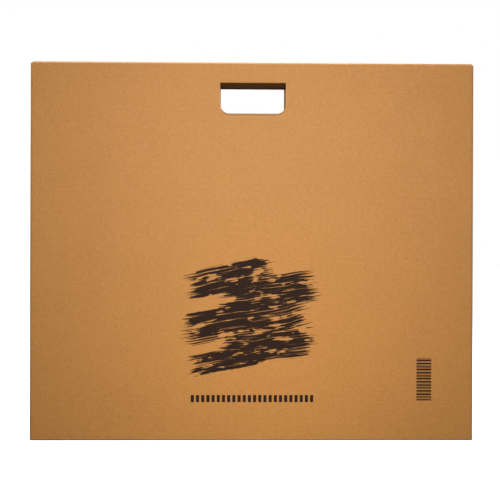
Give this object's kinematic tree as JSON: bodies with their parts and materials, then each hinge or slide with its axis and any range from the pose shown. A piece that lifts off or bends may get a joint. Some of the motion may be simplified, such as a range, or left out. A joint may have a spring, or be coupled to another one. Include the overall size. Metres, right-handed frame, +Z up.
{
  "type": "portfolio case",
  "caption": "Flat carrying case folded from kraft corrugated board, with a hand hole, a tuck-in top and a back panel that folds down.",
  "frame": {"origin": "middle of the case's footprint, on the surface it stands on", "axes": "+X across the case, the front face looks along -Y, +Z up towards the hand hole"},
  "size_m": [0.628, 0.05, 0.5365],
  "materials": {
    "kraft_board": "matte kraft liner on E-flute board",
    "printed_board": "matte kraft liner with a dark brown one-colour print",
    "crease": "matte kraft liner, crushed and slightly polished along the fold",
    "glue": "dried hot-melt adhesive"
  },
  "bodies": {
    "shell": {"front_panel": "printed_board", "bottom_panel": "kraft_board", "left_side_wall": "kraft_board", "right_side_wall": "kraft_board", "left_corner_tab": "kraft_board", "right_corner_tab": "kraft_board", "front_crease": "crease", "back_crease": "crease", "left_wall_crease": "crease", "right_wall_crease": "crease", "left_tab_crease": "crease", "right_tab_crease": "crease", "tab_glue": "glue", "hand_flap_crease": "crease"},
    "back": {"back_panel": "kraft_board", "left_ear_crease": "crease", "right_ear_crease": "crease", "lid_crease": "crease"},
    "left_ear": {"left_ear": "kraft_board"},
    "right_ear": {"right_ear": "kraft_board"},
    "lid": {"lid_panel": "kraft_board", "tuck_crease": "crease"},
    "tuck": {"tuck_flap": "kraft_board"},
    "hand_flap": {"hand_flap": "kraft_board"}
  },
  "joints": [
    {"name": "back_hinge", "type": "hinge", "parent": "shell", "child": "back", "pos_m": [0, 0.0242, 0.0008], "axis": [-1, 0, 0], "range_deg": [0, 90]},
    {"name": "lid_hinge", "type": "hinge", "parent": "back", "child": "lid", "pos_m": [0, 0.0242, 0.5357], "axis": [-1, 0, 0], "range_deg": [0, 81]},
    {"name": "tuck_hinge", "type": "hinge", "parent": "lid", "child": "tuck", "pos_m": [0, -0.0223, 0.5357], "axis": [-1, 0, 0], "range_deg": [0, 72]},
    {"name": "hand_flap_hinge", "type": "hinge", "parent": "shell", "child": "hand_flap", "pos_m": [0, -0.0242, 0.5071], "axis": [-1, 0, 0], "range_deg": [0, 45]},
    {"name": "left_ear_hinge", "type": "hinge", "parent": "back", "child": "left_ear", "pos_m": [-0.3104, 0.0234, 0.263], "axis": [0, 0, 1], "range_deg": [0, 80]},
    {"name": "right_ear_hinge", "type": "hinge", "parent": "back", "child": "right_ear", "pos_m": [0.3104, 0.0234, 0.263], "axis": [0, 0, -1], "range_deg": [0, 80]}
  ],
  "couplings": [
    {"joint": "lid_hinge", "follows": "back_hinge", "ratio": 0.9},
    {"joint": "tuck_hinge", "follows": "back_hinge", "ratio": 0.8}
  ]
}
